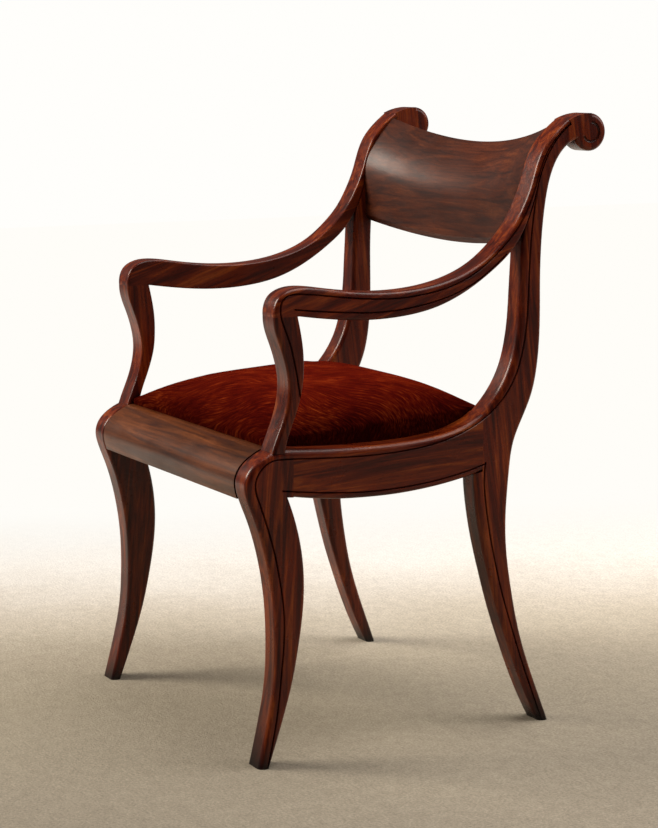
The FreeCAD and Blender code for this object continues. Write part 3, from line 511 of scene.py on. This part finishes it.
def open_under(cover):
    """Take away the middle of the underside, so that the cover is turned in under the frame only."""
    alone(cover)
    bpy.ops.object.mode_set(mode="EDIT")
    bpy.ops.mesh.select_mode(type="FACE")
    bpy.ops.mesh.select_all(action="DESELECT")
    bpy.ops.object.mode_set(mode="OBJECT")
    for face in cover.data.polygons:
        within_x = abs(face.center.x - COVER_MIDDLE[0]) < COVER_HALF_X - TURN_UNDER
        within_y = abs(face.center.y - COVER_MIDDLE[1]) < COVER_HALF_Y - TURN_UNDER
        under = face.normal.z < -0.7 and face.center.z < COVER_LOW[2] + UNDERSIDE
        face.select = within_x and within_y and under
    bpy.ops.object.mode_set(mode="EDIT")
    bpy.ops.mesh.delete(type="FACE")
    bpy.ops.object.mode_set(mode="OBJECT")
    wall = cover.modifiers.new("wall", "SOLIDIFY")
    wall.thickness = COVER_THICK
    wall.offset = -1.0
    bpy.ops.object.modifier_apply(modifier="wall")


cover = make_cover(COVER_SHRINK)
puff(cover)
alone(cover)
smooth = cover.modifiers.new("smooth", "SUBSURF")
smooth.levels = 1
smooth.render_levels = 1
bpy.ops.object.modifier_apply(modifier="smooth")
open_under(cover)
bpy.ops.object.shade_smooth()
dress(cover, velvet("rust_cotton_velvet"))
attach(cover, "slip_seat")
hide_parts("seat_cover")


# Floor and light

FLOOR_REACH = 9.0
# The side of the room that polished wood mirrors as the lightest
WINDOW_SIDE = (-0.87, -0.49, 0.0)
# Share of the white sweep that polished wood mirrors
MIRRORED_SWEEP = 0.12


def carpet(name):
    """Short cut wool carpet that runs out under a white sweep.

    It gives the eye a beige ground of small uneven tufts near the chair, a little lighter to the
    right as painted light, and white far behind the chair.
    """
    material, tree = new_material(name)
    spot = add(tree, "TexCoord").outputs["Object"]
    depth = add(tree, "VectorMath", {0: spot, 1: away_on_floor},
                operation="DOT_PRODUCT").outputs["Value"]
    cloud = add(tree, "TexNoise", {"Vector": spot, "Scale": 3.2, "Detail": 4.0, "Roughness": 0.6})
    wander = add(tree, "MapRange", {
        "Value": cloud.outputs["Fac"], "To Min": -0.14, "To Max": 0.14}).outputs["Result"]
    side = add(tree, "VectorMath", {0: spot, 1: camera_right},
               operation="DOT_PRODUCT").outputs["Value"]
    level = calculate(tree, "ADD", depth, wander)
    place = calculate(tree, "MULTIPLY_ADD", side, -0.12, level)
    along = add(tree, "MapRange", {
        "Value": place, "From Min": -0.6, "From Max": 1.1}).outputs["Result"]
    wool = add(tree, "ValToRGB", {"Fac": along}, stops=[
        (0.0, linear("958e80")), (0.36, linear("aba391")), (0.50, linear("b3ab9a")),
        (0.60, linear("c6bfb0")), (0.70, linear("d6d0c4")), (0.88, linear("f2eee6"))]).outputs["Color"]
    tuft = add(tree, "TexNoise", {"Vector": spot, "Scale": 260.0, "Detail": 3.0, "Roughness": 0.7})
    tufts = add(tree, "ValToRGB", {"Fac": tuft.outputs["Fac"]}, stops=[
        (0.3, grey(0.66)), (0.7, grey(1.26))]).outputs["Color"]
    trodden = add(tree, "TexNoise", {"Vector": spot, "Scale": 48.0, "Detail": 5.0, "Roughness": 0.75})
    treads = add(tree, "ValToRGB", {"Fac": trodden.outputs["Fac"]}, stops=[
        (0.3, grey(0.86)), (0.7, grey(1.10))]).outputs["Color"]
    # Painted light: the carpet's colour is made lighter towards the right of the view.
    lighter = add(tree, "MapRange", {"Value": side, "From Min": -0.8, "From Max": 0.8}).outputs["Result"]
    across = add(tree, "ValToRGB", {"Fac": lighter}, stops=[
        (0.0, grey(0.78)), (1.0, grey(1.22))]).outputs["Color"]
    wool = mix(tree, "MULTIPLY", 1.0, wool, across)
    wool = mix(tree, "MULTIPLY", 0.8, wool, tufts)
    wool = mix(tree, "MULTIPLY", 1.0, wool, treads)
    bump = add(tree, "Bump", {
        "Height": tuft.outputs["Fac"], "Strength": 0.5, "Distance": 4 * MM}).outputs["Normal"]
    ground = add(tree, "BsdfPrincipled", {
        "Base Color": wool, "Roughness": 1.0, "Normal": bump, "Specular IOR Level": 0.1})
    glow = add(tree, "Emission", {"Color": linear("fffdf8"), "Strength": 1.0})
    rays = add(tree, "LightPath")
    faint = calculate(tree, "MULTIPLY", rays.outputs["Is Glossy Ray"], MIRRORED_SWEEP)
    seen = calculate(tree, "MAXIMUM", rays.outputs["Is Camera Ray"], faint)
    far = add(tree, "MapRange", {"Value": place, "From Min": 0.45, "From Max": 1.45},
              interpolation_type="SMOOTHSTEP").outputs["Result"]
    reach = add(tree, "VectorMath", {0: spot}, operation="LENGTH").outputs["Value"]
    around = add(tree, "MapRange", {"Value": reach, "From Min": 1.6, "From Max": 3.0},
                 interpolation_type="SMOOTHSTEP").outputs["Result"]
    sweep = calculate(tree, "MAXIMUM", far, around)
    share = calculate(tree, "MULTIPLY", sweep, seen)
    blend = add(tree, "MixShader", {0: share, 1: ground.outputs["BSDF"], 2: glow.outputs["Emission"]})
    finish_material(tree, blend.outputs["Shader"])
    return material


def make_floor():
    """A wide carpet, part of the stage only."""
    bpy.ops.object.select_all(action="DESELECT")
    bpy.ops.mesh.primitive_plane_add(size=2 * FLOOR_REACH, location=(0.0, 0.0, 0.0))
    floor = bpy.context.object
    floor.name = "studio_floor"
    dress(floor, carpet("studio_carpet"))


def make_world():
    """A white studio behind the chair for the camera. Polished wood mirrors a dim room, which is
    lighter on the side that the key light comes from."""
    world = bpy.data.worlds.new("studio")
    bpy.context.scene.world = world
    world.use_nodes = True
    tree = world.node_tree
    tree.nodes.clear()
    direction = add(tree, "TexCoord").outputs["Generated"]
    facing = add(tree, "VectorMath", {0: direction, 1: WINDOW_SIDE},
                 operation="DOT_PRODUCT").outputs["Value"]
    mirror = add(tree, "MapRange", {
        "Value": facing, "From Min": 0.0, "From Max": 1.0,
        "To Min": 0.015, "To Max": 0.16}).outputs["Result"]
    rays = add(tree, "LightPath")
    for_gloss = calculate(
        tree, "MAXIMUM", rays.outputs["Is Glossy Ray"], rays.outputs["Is Transmission Ray"])
    room = add(tree, "Background", {"Color": linear("fff4ea"), "Strength": 0.26})
    gloss = add(tree, "Background", {"Color": linear("fff6f0"), "Strength": mirror})
    white = add(tree, "Background", {"Color": linear("fffefb"), "Strength": 1.0})
    first = add(tree, "MixShader", {
        0: for_gloss, 1: room.outputs["Background"], 2: gloss.outputs["Background"]})
    second = add(tree, "MixShader", {
        0: rays.outputs["Is Camera Ray"], 1: first.outputs["Shader"], 2: white.outputs["Background"]})
    add(tree, "OutputWorld", {"Surface": second.outputs["Shader"]})


def make_light(name, place, target, spans, power, code):
    """A softbox that points at a target."""
    lamp = bpy.data.lights.new(name, "AREA")
    lamp.shape = "RECTANGLE"
    lamp.size, lamp.size_y = spans
    lamp.energy = power
    lamp.color = linear(code)[:3]
    holder = bpy.data.objects.new(name, lamp)
    bpy.context.scene.collection.objects.link(holder)
    holder.location = place
    aim = Vector(target) - Vector(place)
    holder.rotation_euler = aim.to_track_quat("-Z", "Y").to_euler()


def make_camera():
    """The photograph's camera."""
    lens = bpy.data.cameras.new("camera")
    lens.lens = CAMERA_LENS
    lens.sensor_width = CAMERA_SENSOR
    lens.sensor_fit = "AUTO"
    holder = bpy.data.objects.new("camera", lens)
    bpy.context.scene.collection.objects.link(holder)
    holder.location = CAMERA_PLACE
    holder.rotation_mode = "QUATERNION"
    holder.rotation_quaternion = (-towards_camera).to_track_quat("-Z", "Y")
    bpy.context.scene.camera = holder


make_floor()
make_world()
make_light("key_softbox", (-1.8, -2.7, 2.4), (0.0, 0.0, 0.45), (1.7, 1.7), 150.0, "fff3e4")
make_light("top_softbox", (0.2, 0.6, 3.0), (0.0, 0.0, 0.4), (2.2, 2.2), 60.0, "fff8f2")
make_light("rear_softbox", (1.6, 2.6, 1.9), (0.0, 0.0, 0.6), (1.6, 1.6), 34.0, "fff2ee")
make_camera()
bpy.context.scene.view_settings.view_transform = "Standard"
